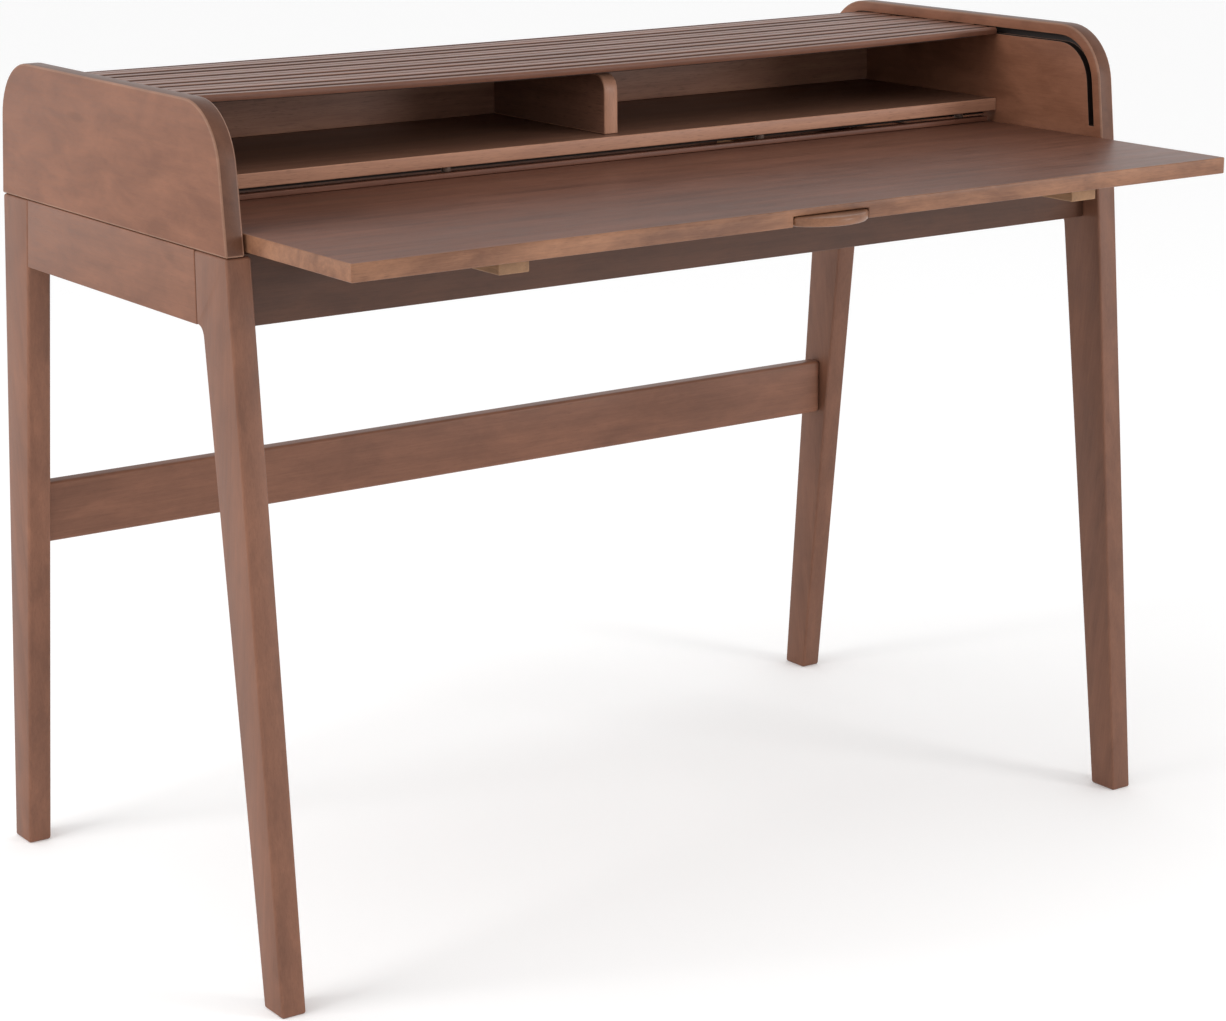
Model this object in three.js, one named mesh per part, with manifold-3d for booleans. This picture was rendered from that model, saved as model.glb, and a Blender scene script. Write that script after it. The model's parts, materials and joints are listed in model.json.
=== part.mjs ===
// Roll top desk: a hutch with a slatted roll curtain over a pull-out writing surface,
// carried by a frame of four splayed legs. Millimetres, +Z up, the front faces -Y.
// Lengths along Y are measured from the lower front corner of the side panels, and the
// whole desk is moved at the end so that the origin is below the middle of its box.
import * as THREE from 'three';
import { mergeVertices } from 'three/addons/utils/BufferGeometryUtils.js';
import Module from 'manifold-3d';

const wasm = await Module();
wasm.setup();

// ---- driving dimensions -------------------------------------------------------------
const WIDTH = 1100;
const HEIGHT = 858;
const GAP = 0.3;              // clearance between pieces that touch

// hutch side panels
const PANEL_THICKNESS = 19;
const PANEL_BOTTOM_Z = 719.5;
const PANEL_DEPTH = 488;      // along the bottom edge
const PANEL_LEAN = THREE.MathUtils.degToRad(6.1);
const CORNER_RADIUS = 64;

// leg frame
const FRAME_TOP_Z = 719;
const APRON_BOTTOM_Z = 649;
const LEG_THICKNESS = 26;
const LEG_TOP_INSET = 1;      // leg edge behind the panel corner at the frame top
const FOOT_SPLAY = 58;        // foot edge beyond the panel corner at the floor
const FOOT_WIDTH = 36;
const LEG_TAPER_SLOPE = 0.1147;
const LEG_FILLET = 11;
const APRON_THICKNESS = 22;
const FRONT_APRON_Y = 20;
const REAR_APRON_Y = 440;
const STRETCHER_BOTTOM_Z = 343;
const STRETCHER_TOP_Z = 408;
const STRETCHER_Y = 481;
const STRETCHER_THICKNESS = 20;
const BLOCK_LEG = 46;         // corner block, length along each apron
const BLOCK_BOTTOM_Z = 660;
const BLOCK_TOP_Z = 700;
const BOLT_RADIUS = 3;
const BOLT_HEAD_RADIUS = 6.5;
const BOLT_HEAD_HEIGHT = 5;
const BOLT_LENGTH = 16;

// pull-out writing surface, drawn fully out
const SURFACE_TOP_Z = 739.4;
const SURFACE_THICKNESS = 17;
const SURFACE_WIDTH = 1055;
const SURFACE_FRONT_Y = -186;
const SURFACE_REAR_Y = 190;
const BEAD_WIDTH = 1042;
const BEAD_DEPTH = 12;
const BEAD_HEIGHT = 5.8;
const RUNNER_INNER_X = 331;
const RUNNER_WIDTH = 33;
const RUNNER_HEIGHT = 14;
const RUNNER_FRONT_Y = -165;
const RUNNER_REAR_Y = 185;
const STOP_LENGTH = 20;
const STOP_WIDTH = 16;
const STOP_BOTTOM_Z = 698;
const BEARER_HEIGHT = 26;
const PULL_WIDTH = 90;
const PULL_BOW = 24;          // how far the lip stands out of the edge
const PULL_ROOT = 18;         // how far it is let into the surface
const PULL_THICKNESS = 9;
const NOTCH_HEIGHT = 10.2;
const NOTCH_CLEARANCE = 0.8;

// hutch interior
const SHELF_BOTTOM_Z = 751.5;
const SHELF_TOP_Z = 765.7;
const SHELF_FRONT_Y = 175;
const DIVIDER_X = 7.5;
const DIVIDER_THICKNESS = 17;
const DIVIDER_FRONT_Y = 191.6;
const DIVIDER_RADIUS = 20;
const INNER_BACK_Y = 406;
const BACK_THICKNESS = 6;
const OUTER_BACK_Y = 460;
const DUST_BOARD_FRONT_Y = 240;
const DUST_BOARD_BOTTOM_Z = 828.4;
const DUST_BOARD_THICKNESS = 5.5;
const SHELF_RAIL_Y = 196;
const SHELF_RAIL_DEPTH = 12;
const GLIDE_RADIUS = 5;
const GLIDE_CLEARANCE = 0.6;  // above the bead, which passes below
const GLIDE_X = [-485, -200, 200, 485];

// roll curtain and its track
const TRACK_WIDTH = 8;
const TRACK_DEPTH = 9;
const TRACK_RADIUS = 48.2;    // of the groove's middle line, about the corner centres
const TRACK_END_Z = 750;
const SLAT_THICKNESS = 7.2;
const SLAT_GAP = 1;
const SLAT_END_GAP = 1.2;
const SLAT_CHAMFER = 2;
const TONGUE_REACH = 5.5;
const TONGUE_TRIM = 0.9;
const BEND_SLATS = 3;         // slats that wrap one corner
const FLAT_SLATS = 6;         // slats that stay on the flat stretch
const NOSE_SLATS = 2;          // slats between the bend and the leading rail
const CURTAIN_FRONT_Y = 174.5;
const NOSE_CLOSED_Z = 740.4;

// ---- derived places -----------------------------------------------------------------
const HALF_WIDTH = WIDTH / 2;
const INNER_X = HALF_WIDTH - PANEL_THICKNESS;
const FITTED_X = INNER_X - GAP;
const LEG_INNER_X = HALF_WIDTH - LEG_THICKNESS;
const CORNER_Z = HEIGHT - CORNER_RADIUS;
const FRONT_CORNER_Y = (CORNER_RADIUS + (CORNER_Z - PANEL_BOTTOM_Z) * Math.sin(PANEL_LEAN))
  / Math.cos(PANEL_LEAN);
const REAR_CORNER_Y = PANEL_DEPTH - FRONT_CORNER_Y;
const SURFACE_BOTTOM_Z = SURFACE_TOP_Z - SURFACE_THICKNESS;
const RUNNER_TOP_Z = SURFACE_BOTTOM_Z - GAP;
const RUNNER_BOTTOM_Z = RUNNER_TOP_Z - RUNNER_HEIGHT;
const BEARER_TOP_Z = RUNNER_BOTTOM_Z - GAP;
const CANVAS_RADIUS = TRACK_RADIUS - SLAT_THICKNESS / 2;
const CANVAS_Z = CORNER_Z + CANVAS_RADIUS;
const BEND_ANGLE = Math.PI / 2 - PANEL_LEAN;
const BEND_STEP = BEND_ANGLE / BEND_SLATS;
const BEND_PITCH = 2 * CANVAS_RADIUS * Math.sin(BEND_STEP / 2);
const RUN_START_Z = CORNER_Z + CANVAS_RADIUS * Math.sin(PANEL_LEAN);
const NOSE_LENGTH = (RUN_START_Z - NOSE_CLOSED_Z) / Math.cos(PANEL_LEAN);
const FLAT_FRONT_Y = CURTAIN_FRONT_Y + NOSE_LENGTH + BEND_SLATS * BEND_PITCH;
const FLAT_PITCH = (REAR_CORNER_Y - FLAT_FRONT_Y) / FLAT_SLATS;
const REAR_FOOT_Y = PANEL_DEPTH + FOOT_SPLAY;
const PULL_FRONT_Y = SURFACE_FRONT_Y - PULL_BOW;
const BOX_CENTRE_Y = (PULL_FRONT_Y + REAR_FOOT_Y) / 2;

// ---- materials ----------------------------------------------------------------------
const wood = (color, roughness) => new THREE.MeshStandardMaterial({ color, roughness, metalness: 0 });
const panelWood = () => wood(0x8a6250, 0.45);
const frameWood = () => wood(0x7b5846, 0.5);
const topWood = () => wood(0x80604f, 0.4);
const slatWood = () => wood(0x85695c, 0.42);
const shelfWood = () => wood(0x6d4d3e, 0.5);
const runnerWood = () => wood(0x9a785e, 0.6);
const blockWood = () => wood(0xb08d68, 0.7);
const boltSteel = () => new THREE.MeshStandardMaterial({ color: 0xb4b6b8, roughness: 0.3, metalness: 1 });
const glideNylon = () => wood(0xd9d4cc, 0.5);

// ---- geometry helpers ---------------------------------------------------------------
const desk = new THREE.Group();

function add(name, geometry, material) {
  const mesh = new THREE.Mesh(geometry, material);
  mesh.name = name;
  desk.add(mesh);
  return mesh;
}

// Box from its lowest and highest corner.
function box([x0, y0, z0], [x1, y1, z1]) {
  const geometry = new THREE.BoxGeometry(x1 - x0, y1 - y0, z1 - z0);
  return geometry.translate((x0 + x1) / 2, (y0 + y1) / 2, (z0 + z1) / 2);
}

// Extrudes a side profile, drawn as (y, z), along X from x0 to x1.
function sideProfile(shape, x0, x1, curveSegments = 8) {
  const geometry = new THREE.ExtrudeGeometry(shape, { depth: x1 - x0, bevelEnabled: false, curveSegments });
  const along = new THREE.Matrix4().makeBasis(
    new THREE.Vector3(0, 1, 0), new THREE.Vector3(0, 0, 1), new THREE.Vector3(1, 0, 0));
  return geometry.applyMatrix4(along).translate(x0, 0, 0);
}

// Extrudes a plan, drawn as (x, y), upward from z0 to z1.
function plan(shape, z0, z1, curveSegments = 8) {
  const geometry = new THREE.ExtrudeGeometry(shape, { depth: z1 - z0, bevelEnabled: false, curveSegments });
  return geometry.translate(0, 0, z0);
}

function polygon(points) {
  return new THREE.Shape(points.map(([u, v]) => new THREE.Vector2(u, v)));
}

function toSolid(geometry) {
  const bare = geometry.clone();
  bare.deleteAttribute('normal');
  bare.deleteAttribute('uv');
  const merged = mergeVertices(bare, 1e-4);
  return new wasm.Manifold(new wasm.Mesh({
    numProp: 3,
    vertProperties: Float32Array.from(merged.attributes.position.array),
    triVerts: Uint32Array.from(merged.index.array),
  }));
}

function cut(geometry, ...tools) {
  let solid = toSolid(geometry);
  for (const tool of tools) solid = solid.subtract(toSolid(tool));
  const mesh = solid.getMesh();
  const result = new THREE.BufferGeometry();
  result.setAttribute('position', new THREE.BufferAttribute(mesh.vertProperties, 3));
  result.setIndex(new THREE.BufferAttribute(mesh.triVerts, 1));
  result.computeVertexNormals();
  return result;
}

// The same piece on both sides: side is -1 on the left and +1 on the right.
function spanX(side, inner, outer) {
  return side > 0 ? [inner, outer] : [-outer, -inner];
}

const SIDES = [['left', -1], ['right', 1]];

// ---- hutch side panels --------------------------------------------------------------
// Outline at a distance outside or inside the middle line of the track's bend.
// Both ends run down parallel to the leaning edges as far as the two end heights.
function bentOutline(radius, frontEndZ, rearEndZ, steps = 9) {
  const points = [];
  const lean = PANEL_LEAN;
  const edge = (cornerY, direction, z) => {
    const startY = cornerY + direction * radius * Math.cos(lean);
    const startZ = CORNER_Z + radius * Math.sin(lean);
    return [startY + direction * (startZ - z) * Math.tan(lean), z];
  };
  points.push(edge(FRONT_CORNER_Y, -1, frontEndZ));
  for (let i = 0; i <= steps; i += 1) {
    const angle = Math.PI - lean - BEND_ANGLE * (i / steps);
    points.push([FRONT_CORNER_Y + radius * Math.cos(angle), CORNER_Z + radius * Math.sin(angle)]);
  }
  for (let i = 0; i <= steps; i += 1) {
    const angle = Math.PI / 2 - BEND_ANGLE * (i / steps);
    points.push([REAR_CORNER_Y + radius * Math.cos(angle), CORNER_Z + radius * Math.sin(angle)]);
  }
  points.push(edge(REAR_CORNER_Y, 1, rearEndZ));
  return points;
}

function trackGroove() {
  const outside = bentOutline(TRACK_RADIUS + TRACK_WIDTH / 2, TRACK_END_Z, TRACK_END_Z);
  const inside = bentOutline(TRACK_RADIUS - TRACK_WIDTH / 2, TRACK_END_Z, TRACK_END_Z);
  return polygon([...outside, ...inside.reverse()]);
}

function addSidePanels() {
  const outline = polygon(bentOutline(CORNER_RADIUS, PANEL_BOTTOM_Z, PANEL_BOTTOM_Z, 12));
  for (const [name, side] of SIDES) {
    const board = sideProfile(outline, ...spanX(side, INNER_X, HALF_WIDTH));
    const groove = sideProfile(trackGroove(), ...spanX(side, INNER_X - 1, INNER_X + TRACK_DEPTH));
    add(`${name}_side_panel`, cut(board, groove), panelWood());
  }
}

// ---- leg frame ----------------------------------------------------------------------
function frontLegShape() {
  const jointY = -FOOT_SPLAY + FOOT_WIDTH + LEG_TAPER_SLOPE * APRON_BOTTOM_Z + LEG_FILLET;
  const cornerY = jointY - LEG_FILLET;
  const shape = new THREE.Shape();
  shape.moveTo(-FOOT_SPLAY, 0);
  shape.lineTo(-FOOT_SPLAY + FOOT_WIDTH, 0);
  shape.lineTo(cornerY - LEG_FILLET * LEG_TAPER_SLOPE, APRON_BOTTOM_Z - LEG_FILLET);
  shape.quadraticCurveTo(cornerY, APRON_BOTTOM_Z, jointY, APRON_BOTTOM_Z);
  shape.lineTo(jointY, FRAME_TOP_Z);
  shape.lineTo(LEG_TOP_INSET, FRAME_TOP_Z);
  return { shape, jointY };
}

function rearLegFrontY(z) {
  return REAR_FOOT_Y - FOOT_WIDTH - LEG_TAPER_SLOPE * z;
}

function rearLegShape() {
  return polygon([
    [REAR_FOOT_Y - FOOT_WIDTH, 0],
    [REAR_FOOT_Y, 0],
    [PANEL_DEPTH - LEG_TOP_INSET, FRAME_TOP_Z],
    [rearLegFrontY(FRAME_TOP_Z), FRAME_TOP_Z],
  ]);
}

function addLegs() {
  const front = frontLegShape();
  const rear = rearLegShape();
  for (const [name, side] of SIDES) {
    const reach = spanX(side, LEG_INNER_X, HALF_WIDTH);
    add(`front_${name}_leg`, sideProfile(front.shape, ...reach), frameWood());
    add(`rear_${name}_leg`, sideProfile(rear, ...reach), frameWood());
    const apron = polygon([
      [front.jointY + GAP, APRON_BOTTOM_Z],
      [rearLegFrontY(APRON_BOTTOM_Z) - GAP, APRON_BOTTOM_Z],
      [rearLegFrontY(FRAME_TOP_Z) - GAP, FRAME_TOP_Z],
      [front.jointY + GAP, FRAME_TOP_Z],
    ]);
    add(`side_apron_${name}`, sideProfile(apron, ...spanX(side, HALF_WIDTH - APRON_THICKNESS, HALF_WIDTH)),
      frameWood());
  }
}

function addCrossRails() {
  const x = LEG_INNER_X - GAP;
  const frontRail = box([-x, FRONT_APRON_Y, APRON_BOTTOM_Z + 1], [x, FRONT_APRON_Y + APRON_THICKNESS, FRAME_TOP_Z]);
  const notches = SIDES.map(([, side]) => {
    const [x0, x1] = spanX(side, RUNNER_INNER_X - 1.5, RUNNER_INNER_X + RUNNER_WIDTH + 1.5);
    return box([x0, FRONT_APRON_Y - 1, BEARER_TOP_Z], [x1, FRONT_APRON_Y + APRON_THICKNESS + 1, FRAME_TOP_Z + 1]);
  });
  add('front_apron', cut(frontRail, ...notches), frameWood());
  add('rear_apron', box([-x, REAR_APRON_Y, APRON_BOTTOM_Z + 1], [x, REAR_APRON_Y + APRON_THICKNESS, FRAME_TOP_Z]),
    frameWood());
  add('rear_stretcher', box([-x, STRETCHER_Y, STRETCHER_BOTTOM_Z],
    [x, STRETCHER_Y + STRETCHER_THICKNESS, STRETCHER_TOP_Z]), frameWood());
}

// Triangular blocks glued and bolted into the corners of the leg frame.
function addCornerBlocks() {
  const x = LEG_INNER_X - GAP;
  const ends = [
    ['front', FRONT_APRON_Y + APRON_THICKNESS + GAP, 1],
    ['rear', REAR_APRON_Y - GAP, -1],
  ];
  for (const [name, side] of SIDES) {
    for (const [end, y, inward] of ends) {
      const corners = [[side * x, y], [side * (x - BLOCK_LEG), y], [side * x, y + inward * BLOCK_LEG]];
      const middle = new THREE.Vector3(side * (x - BLOCK_LEG / 2), y + inward * BLOCK_LEG / 2,
        (BLOCK_BOTTOM_Z + BLOCK_TOP_Z) / 2);
      const outward = new THREE.Vector3(-side, inward, 0).normalize();
      const aim = new THREE.Quaternion().setFromUnitVectors(new THREE.Vector3(0, 1, 0), outward);
      const bore = new THREE.CylinderGeometry(BOLT_RADIUS + GAP, BOLT_RADIUS + GAP, 2 * BOLT_LENGTH, 12);
      bore.applyQuaternion(aim).translate(middle.x, middle.y, middle.z);
      const block = plan(polygon(side * inward > 0 ? corners.reverse() : corners), BLOCK_BOTTOM_Z, BLOCK_TOP_Z);
      add(`corner_block_${end}_${name}`, cut(block, bore), blockWood());
      const profile = [[0, -BOLT_LENGTH], [BOLT_RADIUS, -BOLT_LENGTH], [BOLT_RADIUS, GAP],
        [BOLT_HEAD_RADIUS, GAP], [BOLT_HEAD_RADIUS, BOLT_HEAD_HEIGHT], [0, BOLT_HEAD_HEIGHT]];
      const bolt = new THREE.LatheGeometry(profile.map(([r, h]) => new THREE.Vector2(r, h)), 12);
      bolt.applyQuaternion(aim).translate(middle.x, middle.y, middle.z);
      add(`corner_bolt_${end}_${name}`, bolt, boltSteel());
    }
  }
}

function addBearers() {
  const y0 = FRONT_APRON_Y + APRON_THICKNESS + GAP;
  const y1 = REAR_APRON_Y - GAP;
  for (const [name, side] of SIDES) {
    const [x0, x1] = spanX(side, RUNNER_INNER_X, RUNNER_INNER_X + RUNNER_WIDTH);
    add(`runner_bearer_${name}`, box([x0, y0, BEARER_TOP_Z - BEARER_HEIGHT], [x1, y1, BEARER_TOP_Z]), runnerWood());
  }
}

// ---- hutch interior -----------------------------------------------------------------
function addInterior() {
  const shelfRear = INNER_BACK_Y + BACK_THICKNESS;
  add('shelf', box([-FITTED_X, SHELF_FRONT_Y, SHELF_BOTTOM_Z], [FITTED_X, shelfRear, SHELF_TOP_Z]), shelfWood());
  const boardBottom = SHELF_TOP_Z + GAP;
  const boardTop = DUST_BOARD_BOTTOM_Z - GAP;
  add('inner_back_panel', box([-FITTED_X, INNER_BACK_Y, boardBottom], [FITTED_X, shelfRear, boardTop]), shelfWood());
  const divider = new THREE.Shape();
  divider.moveTo(DIVIDER_FRONT_Y, boardBottom);
  divider.lineTo(INNER_BACK_Y - GAP, boardBottom);
  divider.lineTo(INNER_BACK_Y - GAP, boardTop);
  divider.lineTo(DIVIDER_FRONT_Y + DIVIDER_RADIUS, boardTop);
  divider.quadraticCurveTo(DIVIDER_FRONT_Y, boardTop, DIVIDER_FRONT_Y, boardTop - DIVIDER_RADIUS);
  add('divider', sideProfile(divider, DIVIDER_X - DIVIDER_THICKNESS / 2, DIVIDER_X + DIVIDER_THICKNESS / 2),
    shelfWood());
  add('dust_board', box([-FITTED_X, DUST_BOARD_FRONT_Y, DUST_BOARD_BOTTOM_Z],
    [FITTED_X, shelfRear, DUST_BOARD_BOTTOM_Z + DUST_BOARD_THICKNESS]), shelfWood());
  add('outer_back_panel', box([-FITTED_X, OUTER_BACK_Y, PANEL_BOTTOM_Z],
    [FITTED_X, OUTER_BACK_Y + BACK_THICKNESS, RUN_START_Z - 1]), panelWood());
  const hangingTop = SHELF_BOTTOM_Z - GAP;
  const hangingBottom = SURFACE_TOP_Z + BEAD_HEIGHT + GLIDE_CLEARANCE;
  add('shelf_rail', box([-FITTED_X, SHELF_RAIL_Y, hangingBottom],
    [FITTED_X, SHELF_RAIL_Y + SHELF_RAIL_DEPTH, hangingTop]), shelfWood());
  GLIDE_X.forEach((x, i) => {
    const glide = new THREE.CylinderGeometry(GLIDE_RADIUS, GLIDE_RADIUS, hangingTop - hangingBottom, 16);
    glide.rotateX(Math.PI / 2).translate(x, SHELF_FRONT_Y + BEAD_DEPTH, (hangingTop + hangingBottom) / 2);
    add(`shelf_glide_${i + 1}`, glide, glideNylon());
  });
}

// ---- roll curtain -------------------------------------------------------------------
// One slat seen from the side: a flat strip with chamfered upper edges, its lower face on
// the canvas line from (0, 0) towards -Y.
function slatShape(width) {
  const front = -width + SLAT_GAP / 2;
  const rear = -SLAT_GAP / 2;
  const shoulder = SLAT_THICKNESS - SLAT_CHAMFER;
  return polygon([
    [rear, 0], [rear, shoulder], [rear - SLAT_CHAMFER, SLAT_THICKNESS],
    [front + SLAT_CHAMFER, SLAT_THICKNESS], [front, shoulder], [front, 0],
  ]);
}

const SLAT_HALF = INNER_X - SLAT_END_GAP;

// A slat that stays on the flat stretch runs in the groove on a tongue at each end.
function tonguedSlat(width) {
  const reach = INNER_X + TONGUE_REACH;
  const whole = sideProfile(slatShape(width), -reach, reach);
  const trims = [];
  for (const [, side] of SIDES) {
    const [x0, x1] = spanX(side, SLAT_HALF, reach + 1);
    trims.push(box([x0, -width - 1, -1], [x1, 1, TONGUE_TRIM]));
    trims.push(box([x0, -width - 1, SLAT_THICKNESS - TONGUE_TRIM], [x1, 1, SLAT_THICKNESS + 1]));
  }
  return cut(whole, ...trims);
}

function addCurtain() {
  for (let i = 0; i < FLAT_SLATS; i += 1) {
    const slat = add(`flat_slat_${i + 1}`, tonguedSlat(FLAT_PITCH), slatWood());
    slat.position.set(0, FLAT_FRONT_Y + (i + 1) * FLAT_PITCH, CANVAS_Z);
  }
  const plain = sideProfile(slatShape(BEND_PITCH), -SLAT_HALF, SLAT_HALF);
  for (let i = 0; i < BEND_SLATS; i += 1) {
    const slat = add(`bend_slat_${i + 1}`, plain.clone(), slatWood());
    slat.position.set(0, FLAT_FRONT_Y - i * BEND_PITCH, CANVAS_Z);
  }
  const noseRearY = FLAT_FRONT_Y - BEND_SLATS * BEND_PITCH;
  for (let i = 0; i < NOSE_SLATS; i += 1) {
    const slat = add(`nose_slat_${i + 1}`, plain.clone(), slatWood());
    slat.position.set(0, noseRearY - i * BEND_PITCH, CANVAS_Z);
  }
  const rail = sideProfile(slatShape(NOSE_LENGTH - NOSE_SLATS * BEND_PITCH), -SLAT_HALF, SLAT_HALF);
  add('leading_rail', rail, slatWood()).position.set(0, noseRearY - NOSE_SLATS * BEND_PITCH, CANVAS_Z);
}

// Slats that stay over the rear bend, each on a chord of the canvas line.
function addRearSlats() {
  for (let i = 0; i < BEND_SLATS; i += 1) {
    const turn = BEND_STEP * (i + 1);
    const slat = add(`rear_slat_${i + 1}`, sideProfile(slatShape(BEND_PITCH), -SLAT_HALF, SLAT_HALF), slatWood());
    slat.position.set(0, REAR_CORNER_Y + CANVAS_RADIUS * Math.sin(turn), CORNER_Z + CANVAS_RADIUS * Math.cos(turn));
    slat.rotation.x = -(turn - BEND_STEP / 2);
  }
}

// ---- writing surface ----------------------------------------------------------------
function addWritingSurface() {
  const halfSurface = SURFACE_WIDTH / 2;
  const board = box([-halfSurface, SURFACE_FRONT_Y, SURFACE_BOTTOM_Z], [halfSurface, SURFACE_REAR_Y, SURFACE_TOP_Z]);
  const halfNotch = PULL_WIDTH / 2 + NOTCH_CLEARANCE;
  const notch = box([-halfNotch, SURFACE_FRONT_Y - 1, SURFACE_BOTTOM_Z - 1],
    [halfNotch, SURFACE_FRONT_Y + PULL_ROOT + NOTCH_CLEARANCE, SURFACE_BOTTOM_Z + NOTCH_HEIGHT]);
  add('writing_surface', cut(board, notch), topWood());

  const pull = new THREE.Shape();
  const halfPull = PULL_WIDTH / 2;
  const bowRadius = (halfPull ** 2 + PULL_BOW ** 2) / (2 * PULL_BOW);
  const bowHalfAngle = Math.asin(halfPull / bowRadius);
  pull.moveTo(halfPull, SURFACE_FRONT_Y);
  pull.lineTo(halfPull, SURFACE_FRONT_Y + PULL_ROOT);
  pull.lineTo(-halfPull, SURFACE_FRONT_Y + PULL_ROOT);
  pull.lineTo(-halfPull, SURFACE_FRONT_Y);
  pull.absarc(0, PULL_FRONT_Y + bowRadius, bowRadius, -Math.PI / 2 - bowHalfAngle, -Math.PI / 2 + bowHalfAngle);
  const pullTop = SURFACE_BOTTOM_Z + NOTCH_HEIGHT - NOTCH_CLEARANCE;
  add('lip_pull', plan(pull, pullTop - PULL_THICKNESS, pullTop, 14), topWood());

  const halfBead = BEAD_WIDTH / 2;
  const beadBottom = SURFACE_TOP_Z + GAP;
  add('rear_bead', box([-halfBead, SURFACE_REAR_Y - BEAD_DEPTH, beadBottom],
    [halfBead, SURFACE_REAR_Y, beadBottom + BEAD_HEIGHT - GAP]), topWood());

  const stopFrontY = FRONT_APRON_Y + APRON_THICKNESS + 1;
  for (const [name, side] of SIDES) {
    const [x0, x1] = spanX(side, RUNNER_INNER_X, RUNNER_INNER_X + RUNNER_WIDTH);
    add(`runner_${name}`, box([x0, RUNNER_FRONT_Y, RUNNER_BOTTOM_Z], [x1, RUNNER_REAR_Y, RUNNER_TOP_Z]),
      runnerWood());
    const [s0, s1] = spanX(side, RUNNER_INNER_X - STOP_WIDTH - GAP, RUNNER_INNER_X - GAP);
    add(`pull_out_stop_${name}`, box([s0, stopFrontY, STOP_BOTTOM_Z], [s1, stopFrontY + STOP_LENGTH, RUNNER_TOP_Z]),
      blockWood());
  }
}

addSidePanels();
addLegs();
addCrossRails();
addCornerBlocks();
addBearers();
addInterior();
addCurtain();
addRearSlats();
addWritingSurface();
desk.position.y = -BOX_CENTRE_Y;

export default desk;
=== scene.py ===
# Looks of the roll top desk: camera, light, procedural wood, softened edges and the
# curtain's sag and canvas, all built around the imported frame. Metres.
import json
import math
from collections import namedtuple

import bmesh
import bpy
from mathutils import Euler, Matrix, Vector


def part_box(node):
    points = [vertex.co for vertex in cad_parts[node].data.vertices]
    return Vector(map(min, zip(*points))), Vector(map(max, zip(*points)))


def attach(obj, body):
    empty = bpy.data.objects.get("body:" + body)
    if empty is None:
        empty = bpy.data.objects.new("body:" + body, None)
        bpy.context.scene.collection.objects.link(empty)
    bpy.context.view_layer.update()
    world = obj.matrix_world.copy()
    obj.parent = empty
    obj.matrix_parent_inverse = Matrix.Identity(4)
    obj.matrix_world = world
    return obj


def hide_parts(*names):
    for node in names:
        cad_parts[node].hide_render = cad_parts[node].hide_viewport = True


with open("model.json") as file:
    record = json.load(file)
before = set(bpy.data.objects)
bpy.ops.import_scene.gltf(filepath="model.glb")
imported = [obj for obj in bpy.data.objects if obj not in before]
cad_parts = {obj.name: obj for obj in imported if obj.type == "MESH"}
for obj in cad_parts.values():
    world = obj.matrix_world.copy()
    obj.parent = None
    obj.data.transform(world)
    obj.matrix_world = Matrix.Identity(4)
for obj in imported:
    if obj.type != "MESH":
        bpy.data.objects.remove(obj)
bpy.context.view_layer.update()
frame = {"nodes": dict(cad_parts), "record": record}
nodes = frame["nodes"]
body_of = {node: body
           for body, members in frame["record"]["behaviour"]["bodies"].items()
           for node in members}
slot_of = {part["node"]: part["material_slot"] for part in frame["record"]["subparts"]}
scene = bpy.context.scene
SIDES = ("left", "right")

# ---- camera -------------------------------------------------------------------------
CAMERA_PLACE = (-1.8209, -2.6047, 1.2030)
CAMERA_YAW = -34.82           # degrees
CAMERA_PITCH = -13.83
CAMERA_ROLL = -0.34
CAMERA_LENS = 89.90           # millimetres, as is the sensor's width
CAMERA_SENSOR = 36.0
CAMERA_SHIFT_Y = -0.0422
CAMERA_FAR = 50


def add_camera():
    data = bpy.data.cameras.new("camera")
    data.sensor_width = CAMERA_SENSOR
    data.lens = CAMERA_LENS
    data.shift_y = CAMERA_SHIFT_Y
    data.clip_end = CAMERA_FAR
    camera = bpy.data.objects.new("camera", data)
    turn = Euler((math.radians(90 + CAMERA_PITCH), 0, math.radians(CAMERA_YAW)), "XYZ")
    roll = Matrix.Rotation(math.radians(CAMERA_ROLL), 4, "Z")
    camera.matrix_world = Matrix.Translation(CAMERA_PLACE) @ turn.to_matrix().to_4x4() @ roll
    scene.collection.objects.link(camera)
    scene.camera = camera


# ---- floor and light ----------------------------------------------------------------
SKY_LOW_STRENGTH = 1.04       # a pale backdrop all round, a little darker overhead
SKY_HIGH_STRENGTH = 0.85
SKY_BRIGHT_UP_TO = 0.22       # heights on the unit sphere of directions
SKY_DARK_FROM = 0.60
FLOOR_HALF = 12.0
FLOOR_SHADE = 0.96
FLOOR_ROUGHNESS = 0.8
FLOOR_GLOW = 0.10             # lifts the floor towards a plain white backdrop

Lamp = namedtuple("Lamp", "name place target side watts")
LAMPS = (
    Lamp("left", (-3.0, 0.2, 2.0), (0, 0, 0.6), 1.6, 42),
    Lamp("right_front", (1.9, -3.0, 1.15), (0, 0, 0.75), 0.9, 34),
)


def add_sky():
    world = bpy.data.worlds.new("studio")
    world.use_nodes = True
    tree = world.node_tree
    sky = tree.nodes["Background"]
    sky.inputs["Color"].default_value = (1.0, 1.0, 1.0, 1)
    place = tree.nodes.new("ShaderNodeTexCoord")
    height = tree.nodes.new("ShaderNodeSeparateXYZ")
    fade = tree.nodes.new("ShaderNodeMapRange")
    tree.links.new(place.outputs["Generated"], height.inputs[0])
    tree.links.new(height.outputs["Z"], fade.inputs["Value"])
    fade.inputs["From Min"].default_value = SKY_BRIGHT_UP_TO
    fade.inputs["From Max"].default_value = SKY_DARK_FROM
    fade.inputs["To Min"].default_value = SKY_LOW_STRENGTH
    fade.inputs["To Max"].default_value = SKY_HIGH_STRENGTH
    tree.links.new(fade.outputs["Result"], sky.inputs["Strength"])
    scene.world = world


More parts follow.
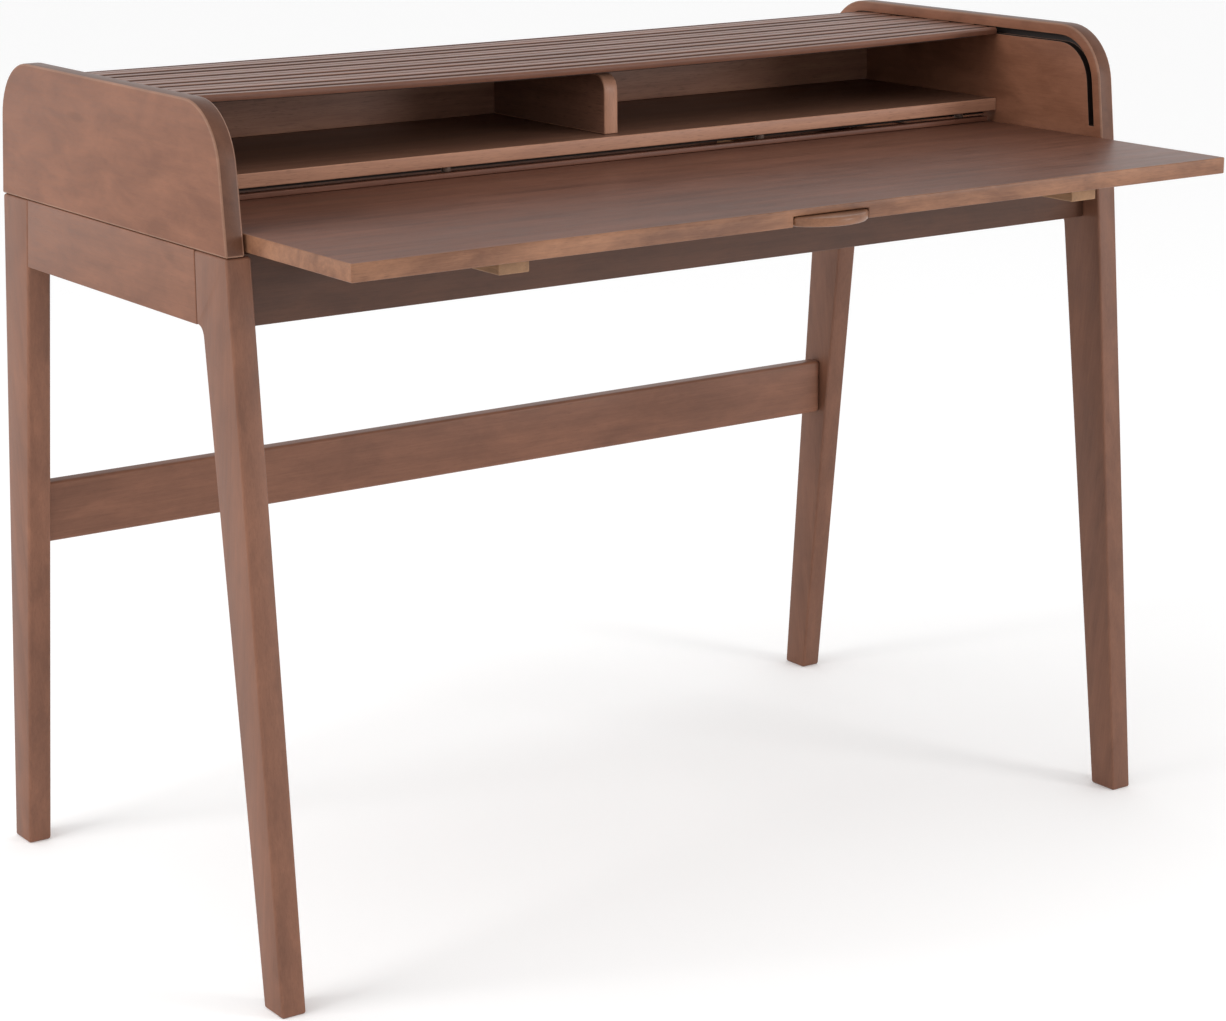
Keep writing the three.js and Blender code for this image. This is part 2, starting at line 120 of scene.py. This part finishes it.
def add_floor():
    mesh = bpy.data.meshes.new("floor")
    corners = [(-FLOOR_HALF, -FLOOR_HALF, 0), (FLOOR_HALF, -FLOOR_HALF, 0),
               (FLOOR_HALF, FLOOR_HALF, 0), (-FLOOR_HALF, FLOOR_HALF, 0)]
    mesh.from_pydata(corners, [], [(0, 1, 2, 3)])
    floor = bpy.data.objects.new("floor", mesh)
    scene.collection.objects.link(floor)
    paint = bpy.data.materials.new("floor_paint")
    paint.use_nodes = True
    shader = paint.node_tree.nodes["Principled BSDF"]
    shader.inputs["Base Color"].default_value = (FLOOR_SHADE, FLOOR_SHADE, FLOOR_SHADE, 1)
    shader.inputs["Roughness"].default_value = FLOOR_ROUGHNESS
    shader.inputs["Emission Color"].default_value = (1, 1, 1, 1)
    shader.inputs["Emission Strength"].default_value = FLOOR_GLOW
    mesh.materials.append(paint)


def add_lamp(lamp):
    data = bpy.data.lights.new(lamp.name, "AREA")
    data.shape = "RECTANGLE"
    data.size = data.size_y = lamp.side
    data.energy = lamp.watts
    light = bpy.data.objects.new(lamp.name, data)
    light.location = lamp.place
    aim = Vector(lamp.target) - Vector(lamp.place)
    light.rotation_euler = aim.to_track_quat("-Z", "Y").to_euler()
    scene.collection.objects.link(light)


def add_studio():
    scene.view_settings.view_transform = "Standard"
    add_sky()
    add_floor()
    for lamp in LAMPS:
        add_lamp(lamp)


# ---- colours ------------------------------------------------------------------------
def srgb(red, green, blue):
    def linear(value):
        value /= 255
        return value / 12.92 if value <= 0.04045 else ((value + 0.055) / 1.055) ** 2.4
    return (linear(red), linear(green), linear(blue), 1)


def lifted(colour, factor):
    return tuple(min(1.0, channel * factor) for channel in colour[:3]) + (1,)


# Every wood varies between a light and a dark colour.
PALETTE = {
    "panel_wood": (srgb(135, 90, 68), srgb(112, 72, 53)),
    "frame_wood": (srgb(131, 89, 69), srgb(106, 71, 55)),
    "surface_wood": (srgb(119, 77, 60), srgb(88, 55, 42)),
    "slat_wood": (srgb(128, 85, 66), srgb(103, 67, 52)),
    "interior_wood": (srgb(134, 96, 77), srgb(108, 74, 59)),
    "runner_wood": (srgb(154, 117, 87), srgb(124, 94, 69)),
    "raw_wood": (srgb(196, 160, 122), srgb(166, 130, 92)),
}
LIPPING = (srgb(151, 107, 80), srgb(108, 73, 55))      # solid wood round the writing surface
BAND = (srgb(184, 136, 110), srgb(158, 114, 92))       # and along the shelf and divider fronts
PANEL_RIM_HIGHLIGHT = (srgb(146, 108, 88), srgb(122, 88, 70))    # painted highlight: the panels' rounding coloured paler and greyer than their faces
# painted shade: the groove's faces coloured near black, for the shadow deep in the track
TRACK_PAINTED_SHADE = srgb(34, 25, 22)
# the canvas strips are real, but coloured dark brown as painted shade in the gaps between slats
CANVAS_SHADE_BROWN = srgb(34, 25, 21)
STEEL_GREY = srgb(190, 192, 196)
# painted shade: the glides coloured a dull dark brown, so the gap under the shelf stays dark
GLIDE_SHADE_BROWN = srgb(104, 82, 70)

EDGE_HIGHLIGHT_LIFT = 1.06              # painted highlight: eased edges are coloured a little lighter than the faces
PANEL_EDGE_SHADE = 0.56       # the panels' edge faces are coloured darker than their faces
APRON_PAINTED_SHADE = 0.43            # painted shade: the aprons darker than the legs, for the shadow under the writing surface
BACK_PANEL_SHADE = 1.35
SHELF_RAIL_SHADE = 0.07       # painted shade: the rail darkened for the shadow deep in the gap under the shelf
LIP_PULL_SHADE = 0.85
GROOVE_PAINTED_SHADE = 0.36           # painted shade: the grooves between the slats coloured darker
# painted light and shade: the same wood lighter on the right panel and darker on the left, for how
# light falls on each
PANEL_PAINTED_LIGHT = {"left": 0.94, "right": 1.12}
# painted shade: the right legs darkened, for the shadow under the desk top
LEG_PAINTED_SHADE = {"left": 1.0, "right": 0.85}

# ---- wood ---------------------------------------------------------------------------
# A layer of noise: how far it is squeezed along and across the grain, its scale, detail,
# roughness and distortion, and the part of its range that is spread over 0 to 1.
Layer = namedtuple("Layer", "squeeze scale detail rough distortion low high")
BROAD = Layer((1.2, 3, 3), 2.2, 3, 0.55, 0.0, 0.32, 0.68)
CLOUD = Layer((6, 15, 15), 2.4, 5, 0.62, 0.4, 0.30, 0.70)
FIGURE = Layer((1.6, 34, 34), 2.6, 4, 0.60, 0.5, 0.32, 0.68)
FIBRE = Layer((9, 260, 260), 2.4, 4, 0.60, 0.0, 0.30, 0.70)
PORES = Layer((48, 700, 700), 1.8, 2, 0.50, 0.0, 0.57, 0.70)
FLECKS = Layer((14, 40, 40), 1.0, 1, 0.40, 0.0, 0.72, 0.80)

BROAD_SHARE = 0.30            # of the tone. A look gives cloud's and figure's shares.
FIBRE_SHARE = 0.24
TONE_LOW, TONE_HIGH = 0.24, 0.80
PORE_SHADE = 0.30             # of pores and flecks, against the dark colour
FLECK_STRENGTH = 0.22
SHINIER, DULLER = 0.05, 0.07  # how far roughness goes below and above its stated value
FIBRE_RELIEF = 0.5            # against the depth of the pores
GRAIN_BUMP, GRAIN_DEPTH = 0.15, 0.0003
WOOD_IOR = 1.45
WOOD_SPECULAR = 0.30
BOARD_STEP = 0.731            # from one board's place in the noise to the next one's
BOARD_WAY = (1.7, 0.61, 0.37)
PANEL_END_SHIFT = 4.1
LIPPING_SHIFT = 9.3

# Looks: cloud's and figure's shares of the tone, and how strong the pores are.
PANEL_LOOK = {"mottle": 0.85, "lines": 0.15, "pore": 0.12}
LEG_LOOK = {"mottle": 0.45, "lines": 0.25, "pore": 0.15}
SIDE_APRON_LOOK = {"mottle": 0.6, "lines": 0.2, "pore": 0.12}
RAIL_LOOK = {"mottle": 0.5, "lines": 0.3, "pore": 0.15}
VENEER_LOOK = {"mottle": 0.2, "lines": 0.4, "pore": 0.35}
BOARD_LOOK = {"mottle": 0.3, "lines": 0.3, "pore": 0.5}
BEAD_LOOK = {"mottle": 0.3, "lines": 0.3, "pore": 0.2}
PULL_LOOK = {"mottle": 0.4, "lines": 0.3, "pore": 0.15, "rough": 0.3}
SURFACE_LOOK = {"mottle": 0.2, "lines": 0.35, "pore": 0.35}
LIPPING_LOOK = {"mottle": 0.8, "lines": 0.25, "pore": 0.3, "rough": 0.4}
SLAT_LOOK = {"mottle": 0.25, "lines": 0.4, "pore": 0.3, "rough": 0.38}
SLIDING_ROUGHNESS = 0.6
RAW_ROUGHNESS = 0.7
SHELF_RAIL_ROUGHNESS = 0.75


class Nodes:
    """Short calls for adding and joining shader nodes in one material."""

    def __init__(self, name):
        self.material = bpy.data.materials.new(name)
        self.material.use_nodes = True
        self.tree = self.material.node_tree
        self.shader = self.tree.nodes["Principled BSDF"]

    def add(self, kind, **settings):
        node = self.tree.nodes.new(kind)
        for key, value in settings.items():
            setattr(node, key, value)
        return node

    def join(self, source, target):
        self.tree.links.new(source, target)

    def noise(self, vector, scale, detail, rough, distortion=0.0):
        node = self.add("ShaderNodeTexNoise")
        self.join(vector, node.inputs["Vector"])
        node.inputs["Scale"].default_value = scale
        node.inputs["Detail"].default_value = detail
        node.inputs["Roughness"].default_value = rough
        node.inputs["Distortion"].default_value = distortion
        return node.outputs["Fac"]

    def range(self, source, low, high, to_low=0.0, to_high=1.0):
        node = self.add("ShaderNodeMapRange", clamp=True)
        self.join(source, node.inputs["Value"])
        node.inputs["From Min"].default_value = low
        node.inputs["From Max"].default_value = high
        node.inputs["To Min"].default_value = to_low
        node.inputs["To Max"].default_value = to_high
        return node.outputs["Result"]

    def layer(self, grain, layer):
        squeeze = self.add("ShaderNodeVectorMath", operation="MULTIPLY")
        self.join(grain, squeeze.inputs[0])
        squeeze.inputs[1].default_value = layer.squeeze
        noise = self.noise(squeeze.outputs[0], layer.scale, layer.detail, layer.rough,
                           layer.distortion)
        return self.range(noise, layer.low, layer.high)

    def math(self, operation, a, b):
        node = self.add("ShaderNodeMath", operation=operation)
        for socket, value in zip(node.inputs, (a, b)):
            if isinstance(value, (int, float)):
                socket.default_value = value
            else:
                self.join(value, socket)
        return node.outputs[0]

    def mix(self, factor, a, b):
        node = self.add("ShaderNodeMix", data_type="RGBA")
        for socket, value in ((node.inputs[0], factor), (node.inputs[6], a), (node.inputs[7], b)):
            if isinstance(value, tuple):
                socket.default_value = value
            else:
                self.join(value, socket)
        return node.outputs[2]

    def bump(self, height, strength, distance):
        node = self.add("ShaderNodeBump")
        node.inputs["Strength"].default_value = strength
        node.inputs["Distance"].default_value = distance
        self.join(height, node.inputs["Height"])
        self.join(node.outputs["Normal"], self.shader.inputs["Normal"])


def grain_space(n, along, lean, shift):
    """Coordinates with X along the grain, moved so that every board is cut from its own place."""
    turn = n.add("ShaderNodeMapping")
    turns = {"X": (0, 0, 0), "Y": (0, 0, -90), "Z": (lean, 90, 0)}[along]
    turn.inputs["Rotation"].default_value = [math.radians(angle) for angle in turns]
    turn.inputs["Location"].default_value = [way * shift for way in BOARD_WAY]
    n.join(n.add("ShaderNodeTexCoord").outputs["Object"], turn.inputs["Vector"])
    return turn.outputs["Vector"]


def wood(name, light, dark, along, lean=0.0, shift=0.0, rough=0.42, mottle=0.55, lines=0.30,
         pore=0.3):
    """Stained wood. along is the grain's axis, and lean turns it about X, in degrees."""
    n = Nodes(name)
    grain = grain_space(n, along, lean, shift)
    broad = n.layer(grain, BROAD)
    cloud = n.layer(grain, CLOUD)
    figure = n.layer(grain, FIGURE)
    fibre = n.layer(grain, FIBRE)
    pores = n.layer(grain, PORES)
    flecks = n.layer(grain, FLECKS)

    tone = n.math("ADD", n.math("MULTIPLY", broad, BROAD_SHARE), n.math("MULTIPLY", cloud, mottle))
    tone = n.math("ADD", tone, n.math("MULTIPLY", figure, lines))
    tone = n.math("ADD", tone, n.math("MULTIPLY", fibre, FIBRE_SHARE))
    total = BROAD_SHARE + mottle + lines + FIBRE_SHARE
    tone = n.range(tone, TONE_LOW * total, TONE_HIGH * total)
    deep = lifted(dark, PORE_SHADE)
    colour = n.mix(tone, dark, light)
    colour = n.mix(n.math("MULTIPLY", pores, pore), colour, deep)
    colour = n.mix(n.math("MULTIPLY", flecks, FLECK_STRENGTH), colour, deep)
    n.join(colour, n.shader.inputs["Base Color"])

    uneven = n.math("ADD", n.math("MULTIPLY", fibre, 0.5), n.math("MULTIPLY", cloud, 0.5))
    n.join(n.range(uneven, 0, 1, rough - SHINIER, rough + DULLER), n.shader.inputs["Roughness"])
    height = n.math("SUBTRACT", n.math("MULTIPLY", fibre, FIBRE_RELIEF), pores)
    n.bump(height, GRAIN_BUMP, GRAIN_DEPTH)
    n.shader.inputs["IOR"].default_value = WOOD_IOR
    n.shader.inputs["Specular IOR Level"].default_value = WOOD_SPECULAR
    return n.material


# ---- plain materials ----------------------------------------------------------------
FINE_GRIT = 600.0             # the speckle's scale
CLOTH_GRIT = 1500.0
SPECK_DETAIL, SPECK_ROUGH = 4, 0.6
SPECK_LOW, SPECK_HIGH = 0.3, 0.7
SPECK_SHADE = 0.82
SPECK_GLOSS = 0.06            # how far roughness goes either way
SPECK_BUMP, SPECK_DEPTH = 0.1, 0.0002
STEEL_ROUGHNESS = 0.32
NYLON_ROUGHNESS = 0.6
TRACK_ROUGHNESS = 0.38
CANVAS_ROUGHNESS = 0.9


def plain_paint(name, colour, rough, metallic=0.0, grit=FINE_GRIT):
    """A smooth material with a fine speckle in its colour, roughness and surface."""
    n = Nodes(name)
    place = n.add("ShaderNodeTexCoord").outputs["Object"]
    speck = n.noise(place, grit, SPECK_DETAIL, SPECK_ROUGH)
    tone = n.range(speck, SPECK_LOW, SPECK_HIGH)
    gloss = n.range(speck, SPECK_LOW, SPECK_HIGH, rough - SPECK_GLOSS, rough + SPECK_GLOSS)
    n.join(n.mix(tone, lifted(colour, SPECK_SHADE), colour), n.shader.inputs["Base Color"])
    n.join(gloss, n.shader.inputs["Roughness"])
    n.shader.inputs["Metallic"].default_value = metallic
    n.bump(speck, SPECK_BUMP, SPECK_DEPTH)
    return n.material


# ---- pieces -------------------------------------------------------------------------
FACE_SLOT, RIM_SLOT = 0, 1    # material slots of every board
BAND_SLOT = 2                 # of a board with lipping or a band
TRACK_SLOT, END_SLOT = 2, 3   # of a side panel

board_count = 0


def give_wood(piece, node, along, lean=0.0, edge=EDGE_HIGHLIGHT_LIFT, shade=1.0, colours=None, rim=None,
              **look):
    """A board's own wood on its faces, and a lighter version of it as painted highlight, or a
    darker one as painted shade, for its edges.

    edge is the edges' shade against the faces. rim, if given, is their pair of colours instead.
    """
    global board_count
    board_count += 1
    light, dark = (lifted(colour, shade) for colour in colours or PALETTE[slot_of[node]])
    rim_light, rim_dark = rim or (lifted(light, edge), lifted(dark, edge))
    shift = BOARD_STEP * board_count
    face_wood = wood(f"{piece.name}_face", light, dark, along, lean, shift, **look)
    rim_wood = wood(f"{piece.name}_edge", rim_light, rim_dark, along, lean, shift, **look)
    if piece.data.materials:      # clearing also resets which face has which slot
        piece.data.materials.clear()
    piece.data.materials.append(face_wood)
    piece.data.materials.append(rim_wood)


FLAT_ANGLE = math.radians(0.5)
SHARP_ANGLE = math.radians(32)
MERGE_DISTANCE = 1e-5
EASE_SEGMENTS = 3


def add_bevel(piece, width, segments=EASE_SEGMENTS, method="ANGLE", rim_slot=RIM_SLOT):
    bevel = piece.modifiers.new("bevel", "BEVEL")
    bevel.width = width
    bevel.segments = segments
    bevel.limit_method = method
    bevel.angle_limit = SHARP_ANGLE
    bevel.material = rim_slot
    bevel.harden_normals = True
    bevel.use_clamp_overlap = True
    for polygon in piece.data.polygons:
        polygon.use_smooth = True


def soften(piece, width, segments=EASE_SEGMENTS, rim_slot=RIM_SLOT):
    """Eases a piece's sharp edges with modifiers, so that its own mesh stays as it is."""
    weld = piece.modifiers.new("weld", "WELD")
    weld.merge_threshold = MERGE_DISTANCE
    flatten = piece.modifiers.new("flatten", "DECIMATE")
    flatten.decimate_type = "DISSOLVE"
    flatten.angle_limit = FLAT_ANGLE
    flatten.delimit = {"MATERIAL"}
    add_bevel(piece, width, segments, rim_slot=rim_slot)


def dress(name, along, width, **look):
    """A CAD board that stays, in wood and with eased edges."""
    piece = nodes[name]
    give_wood(piece, name, along, **look)
    soften(piece, width)


def clean_copy(name, new_name):
    """A CAD node's shape as an editable mesh with whole flat faces, open for further work."""
    bm = bmesh.new()
    bm.from_mesh(nodes[name].data)
    bmesh.ops.remove_doubles(bm, verts=bm.verts, dist=MERGE_DISTANCE)
    bmesh.ops.dissolve_limit(bm, angle_limit=FLAT_ANGLE, verts=bm.verts, edges=bm.edges)
    for face in bm.faces:
        face.material_index = FACE_SLOT
    return bm, bpy.data.meshes.new(new_name)


def stand_in(bm, mesh, name):
    """The finished mesh as a piece that rides with its CAD node and replaces it."""
    bm.to_mesh(mesh)
    bm.free()
    piece = bpy.data.objects.new(mesh.name, mesh)
    scene.collection.objects.link(piece)
    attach(piece, body_of[name])
    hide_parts(name)
    return piece


# ---- boards and hardware ------------------------------------------------------------
# How far edges are eased.
PANEL_EASE = 0.0018
TRACK_EASE = 0.15             # share of PANEL_EASE
LEG_EASE = 0.003
STRETCHER_EASE = 0.004
PULL_EASE = 0.0028
APRON_EASE = 0.0015
BOARD_EASE = 0.0012
SMALL_EASE = 0.001
SHEET_EASE = 0.0007
METAL_EASE = 0.0004
PANEL_SEGMENTS = 4
METAL_SEGMENTS = 2

EDGEWAYS = 0.5                # an edge face's normal has less than this across the board
BAND_FACING = 0.3             # a banded face's normal has more than this forward or up
LEG_LEAN = 6.3                # degrees, the legs' splay


def mark_panel(bm, name):
    """Sets a side panel's material slots, and how far each of its edges is eased."""
    low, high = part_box(name)
    outer_x = max(abs(low.x), abs(high.x))
    inner_x = min(abs(low.x), abs(high.x))
    weights = bm.edges.layers.float.new("bevel_weight_edge")
    for face in bm.faces:
        reach = max(abs(vertex.co.x) for vertex in face.verts)
        if inner_x + MERGE_DISTANCE < reach < outer_x - MERGE_DISTANCE:
            face.material_index = TRACK_SLOT
        elif abs(face.normal.x) < EDGEWAYS:
            face.material_index = END_SLOT
    for edge in bm.edges:
        if edge.calc_face_angle(0) > SHARP_ANGLE:
            in_track = any(face.material_index == TRACK_SLOT for face in edge.link_faces)
            edge[weights] = TRACK_EASE if in_track else 1.0


def add_side_panel(side):
    """A side panel with rounded outer edges, crisp groove edges and a track coloured near black as
    painted shade.
    """
    name = f"{side}_side_panel"
    bm, mesh = clean_copy(name, f"{name}_board")
    mark_panel(bm, name)
    piece = stand_in(bm, mesh, name)
    give_wood(piece, name, "Y", shade=PANEL_PAINTED_LIGHT[side], rim=PANEL_RIM_HIGHLIGHT, **PANEL_LOOK)
    piece.data.materials.append(plain_paint(f"{name}_track", TRACK_PAINTED_SHADE, TRACK_ROUGHNESS))
    end_light, end_dark = (lifted(colour, PANEL_EDGE_SHADE) for colour in PALETTE["panel_wood"])
    piece.data.materials.append(
        wood(f"{name}_end", end_light, end_dark, "Y", shift=PANEL_END_SHIFT, **PANEL_LOOK))
    add_bevel(piece, PANEL_EASE, PANEL_SEGMENTS, "WEIGHT")


def dress_banded(name, along, width, **look):
    """A board whose front edge carries a lighter band of the same wood."""
    piece = nodes[name]
    give_wood(piece, name, along, **look)
    band_along = "X" if along == "X" else "Z"
    piece.data.materials.append(wood(f"{name}_band", *BAND, band_along, **look))
    for polygon in piece.data.polygons:
        on_top = name == "divider" and polygon.normal.z > BAND_FACING
        if polygon.normal.y < -BAND_FACING or on_top:
            polygon.material_index = BAND_SLOT
    soften(piece, width, rim_slot=BAND_SLOT)


def dress_writing_surface():
    """Veneered top with lipping of solid wood round its edges."""
    piece = nodes["writing_surface"]
    give_wood(piece, "writing_surface", "X", **SURFACE_LOOK)
    piece.data.materials.append(
        wood("writing_surface_lipping", *LIPPING, "X", shift=LIPPING_SHIFT, **LIPPING_LOOK))
    for polygon in piece.data.polygons:
        if abs(polygon.normal.z) < EDGEWAYS:
            polygon.material_index = BAND_SLOT
    soften(piece, BOARD_EASE, rim_slot=BAND_SLOT)


def dress_side(side):
    leg = {"shade": LEG_PAINTED_SHADE[side], **LEG_LOOK}
    add_side_panel(side)
    dress(f"front_{side}_leg", "Z", LEG_EASE, lean=-LEG_LEAN, **leg)
    dress(f"rear_{side}_leg", "Z", LEG_EASE, lean=LEG_LEAN, **leg)
    dress(f"side_apron_{side}", "Y", BOARD_EASE, **SIDE_APRON_LOOK)
    dress(f"runner_bearer_{side}", "Y", BOARD_EASE, rough=SLIDING_ROUGHNESS)
    dress(f"runner_{side}", "Y", BOARD_EASE, rough=SLIDING_ROUGHNESS)
    dress(f"pull_out_stop_{side}", "X", SMALL_EASE, rough=RAW_ROUGHNESS)
    for end in ("front", "rear"):
        dress(f"corner_block_{end}_{side}", "Z", SMALL_EASE, rough=RAW_ROUGHNESS)


def dress_boards():
    """Dresses every board. The order gives each one its place in the noise."""
    for side in SIDES:
        dress_side(side)
    dress("front_apron", "X", APRON_EASE, shade=APRON_PAINTED_SHADE, **RAIL_LOOK)
    dress("rear_apron", "X", APRON_EASE, shade=APRON_PAINTED_SHADE, **RAIL_LOOK)
    dress("rear_stretcher", "X", STRETCHER_EASE, **RAIL_LOOK)
    dress("dust_board", "X", SHEET_EASE, **VENEER_LOOK)
    dress("inner_back_panel", "X", SHEET_EASE, shade=BACK_PANEL_SHADE, **VENEER_LOOK)
    dress("shelf_rail", "X", SHEET_EASE, shade=SHELF_RAIL_SHADE, rough=SHELF_RAIL_ROUGHNESS,
          **VENEER_LOOK)
    dress_banded("shelf", "X", SMALL_EASE, **VENEER_LOOK)
    dress_banded("divider", "Y", BOARD_EASE, **BOARD_LOOK)
    dress("outer_back_panel", "X", SHEET_EASE, **BOARD_LOOK)
    dress("rear_bead", "X", SMALL_EASE, **BEAD_LOOK)
    dress("lip_pull", "X", PULL_EASE, colours=LIPPING, shade=LIP_PULL_SHADE, **PULL_LOOK)
    dress_writing_surface()


def dress_hardware():
    finishes = {
        "steel": plain_paint("zinc_steel", STEEL_GREY, STEEL_ROUGHNESS, metallic=1.0),
        "nylon": plain_paint("glide_nylon", GLIDE_SHADE_BROWN, NYLON_ROUGHNESS),
    }
    for name, piece in nodes.items():
        if slot_of[name] in finishes:
            piece.data.materials.clear()
            for _ in (FACE_SLOT, RIM_SLOT):
                piece.data.materials.append(finishes[slot_of[name]])
            soften(piece, METAL_EASE, METAL_SEGMENTS)


# ---- roll curtain -------------------------------------------------------------------
NOSE_SAG = 0.0058             # droop in the middle of the leading edge
REST_SAG = 0.0022             # and of the rearmost flat slat
SAG_FADE = 0.5                # power with which one passes into the other
REAR_SAG_FADE = 0.25          # share of REST_SAG lost by each slat over the rear corner
SAG_STEPS = 24
CANVAS_HALF_WIDTH = 0.5
CANVAS_TOP, CANVAS_BOTTOM = 0.00002, 0.0005    # depths below the slat
CANVAS_SHORT = 0.0007         # from a slat's edge to its strip's, as room for the bend
UNDERCUT = 0.0006             # off both edges of the underside of all but the flat slats
SLAT_EASE = 0.0006
GROOVE_SLOPE = 0.3            # a slat's sloped side has more than this towards its neighbour
SLAT_TIP = math.radians(1.3)  # every slat stands a little proud along its front
SLAT_SEAT = {                 # how high each slat sits on the canvas, and its own tone
    "leading_rail": (-0.0003, 0.92), "nose_slat_2": (0.0001, 1.00), "nose_slat_1": (0.0005, 1.10),
    "bend_slat_3": (-0.0002, 0.96), "bend_slat_2": (0.0002, 1.06), "bend_slat_1": (0.0006, 1.00),
    "flat_slat_1": (-0.0001, 1.10), "flat_slat_2": (0.0003, 0.98), "flat_slat_3": (-0.0004, 1.06),
    "flat_slat_4": (0.0, 0.94), "flat_slat_5": (0.0004, 1.08), "flat_slat_6": (-0.0003, 1.0),
    "rear_slat_1": (0.0001, 1.04), "rear_slat_2": (-0.0001, 0.95), "rear_slat_3": (0.0, 1.03),
}


def sag_at(y, front_y, rear_y):
    """The leading edge hangs most, and the slats behind it less."""
    share = max(0.0, min(1.0, (y - front_y) / (rear_y - front_y)))
    return NOSE_SAG + (REST_SAG - NOSE_SAG) * share ** SAG_FADE


def hang(bm, half, sag):
    """Lets a span droop by sag in its middle."""
    for step in range(1, SAG_STEPS):
        x = -half + 2 * half * step / SAG_STEPS
        geometry = bm.verts[:] + bm.edges[:] + bm.faces[:]
        bmesh.ops.bisect_plane(bm, geom=geometry, plane_co=(x, 0, 0), plane_no=(1, 0, 0))
    for vertex in bm.verts:
        vertex.co.z -= sag * max(0.0, 1 - (vertex.co.x / half) ** 2)


def underside(bm):
    """Front and rear end of a slat's underside, seen from the side: its longest edge across."""
    across = [edge for edge in bm.edges
              if abs(edge.verts[0].co.x - edge.verts[1].co.x) < MERGE_DISTANCE]
    longest = max(across, key=lambda edge: edge.calc_length())
    ends = sorted((vertex.co.copy() for vertex in longest.verts), key=lambda co: (co.y, -co.z))
    for end in ends:
        end.x = 0
    return ends


def undercut(bm, ends):
    """Leans a slat's sides in under it, so that bowed neighbours clear each other in the bend."""
    along = (ends[1] - ends[0]).normalized()
    for vertex in bm.verts:
        for end, way in ((ends[0], 1), (ends[1], -1)):
            if (Vector((0, vertex.co.y, vertex.co.z)) - end).length < MERGE_DISTANCE:
                vertex.co += along * way * UNDERCUT


def seat(bm, ends, lift):
    """Sets a slat at its own height and tips its front edge up. Returns the moved ends."""
    middle = (ends[0] + ends[1]) / 2
    along = (ends[1] - ends[0]).normalized()
    shift = Vector((0, -along.z, along.y)) * lift
    tip = (Matrix.Translation(middle + shift) @ Matrix.Rotation(-SLAT_TIP, 4, "X")
           @ Matrix.Translation(-middle))
    bm.transform(tip)
    return [tip @ end for end in ends]


def shade_grooves(bm, ends, keep_front):
    """Painted shade: the sloped sides between slats are coloured darker, unlike the curtain's own
    front edge.
    """
    along = (ends[1] - ends[0]).normalized()
    for face in bm.faces:
        slope = face.normal.dot(along)
        if abs(slope) > GROOVE_SLOPE and not (keep_front and slope < 0):
            face.material_index = RIM_SLOT


def add_canvas(name, ends, half, sag, material):
    """The strip of canvas glued under one slat."""
    along = (ends[1] - ends[0]).normalized()
    down = Vector((0, along.z, -along.y))
    front = ends[0] + along * CANVAS_SHORT
    rear = ends[1] - along * CANVAS_SHORT
    reach = Vector((CANVAS_HALF_WIDTH, 0, 0))
    corners = [point + side + down * depth for depth in (CANVAS_TOP, CANVAS_BOTTOM)
               for side in (-reach, reach) for point in (front, rear)]
    bm = bmesh.new()
    bmesh.ops.convex_hull(bm, input=[bm.verts.new(corner) for corner in corners])
    bmesh.ops.dissolve_limit(bm, angle_limit=FLAT_ANGLE, verts=bm.verts, edges=bm.edges)
    hang(bm, half, sag)
    mesh = bpy.data.meshes.new(f"{name}_canvas")
    bm.to_mesh(mesh)
    bm.free()
    mesh.materials.append(material)
    piece = bpy.data.objects.new(mesh.name, mesh)
    scene.collection.objects.link(piece)
    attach(piece, body_of[name])


def add_slat(name, half, sag, canvas):
    """A slat that bows by sag, on its strip of canvas."""
    lift, tone = SLAT_SEAT[name]
    bm, mesh = clean_copy(name, f"{name}_strip")
    ends = underside(bm)
    shade_grooves(bm, ends, keep_front=name == "leading_rail")
    if not name.startswith("flat"):
        undercut(bm, ends)
    ends = seat(bm, ends, lift)
    hang(bm, half, sag)
    piece = stand_in(bm, mesh, name)
    give_wood(piece, name, "X", edge=GROOVE_PAINTED_SHADE, shade=tone, **SLAT_LOOK)
    add_bevel(piece, SLAT_EASE, rim_slot=FACE_SLOT)
    add_canvas(name, ends, half, sag, canvas)


def add_curtain():
    canvas = plain_paint("canvas", CANVAS_SHADE_BROWN, CANVAS_ROUGHNESS, grit=CLOTH_GRIT)
    front_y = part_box("leading_rail")[0].y
    rear_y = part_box("flat_slat_6")[1].y
    for name in sorted(SLAT_SEAT):
        low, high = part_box(name)
        sag = sag_at((low.y + high.y) / 2, front_y, rear_y)
        if name.startswith("rear_slat"):
            sag = REST_SAG * (1 - REAR_SAG_FADE * int(name[-1]))
        add_slat(name, high.x, sag, canvas)


add_camera()
add_studio()
dress_boards()
dress_hardware()
add_curtain()
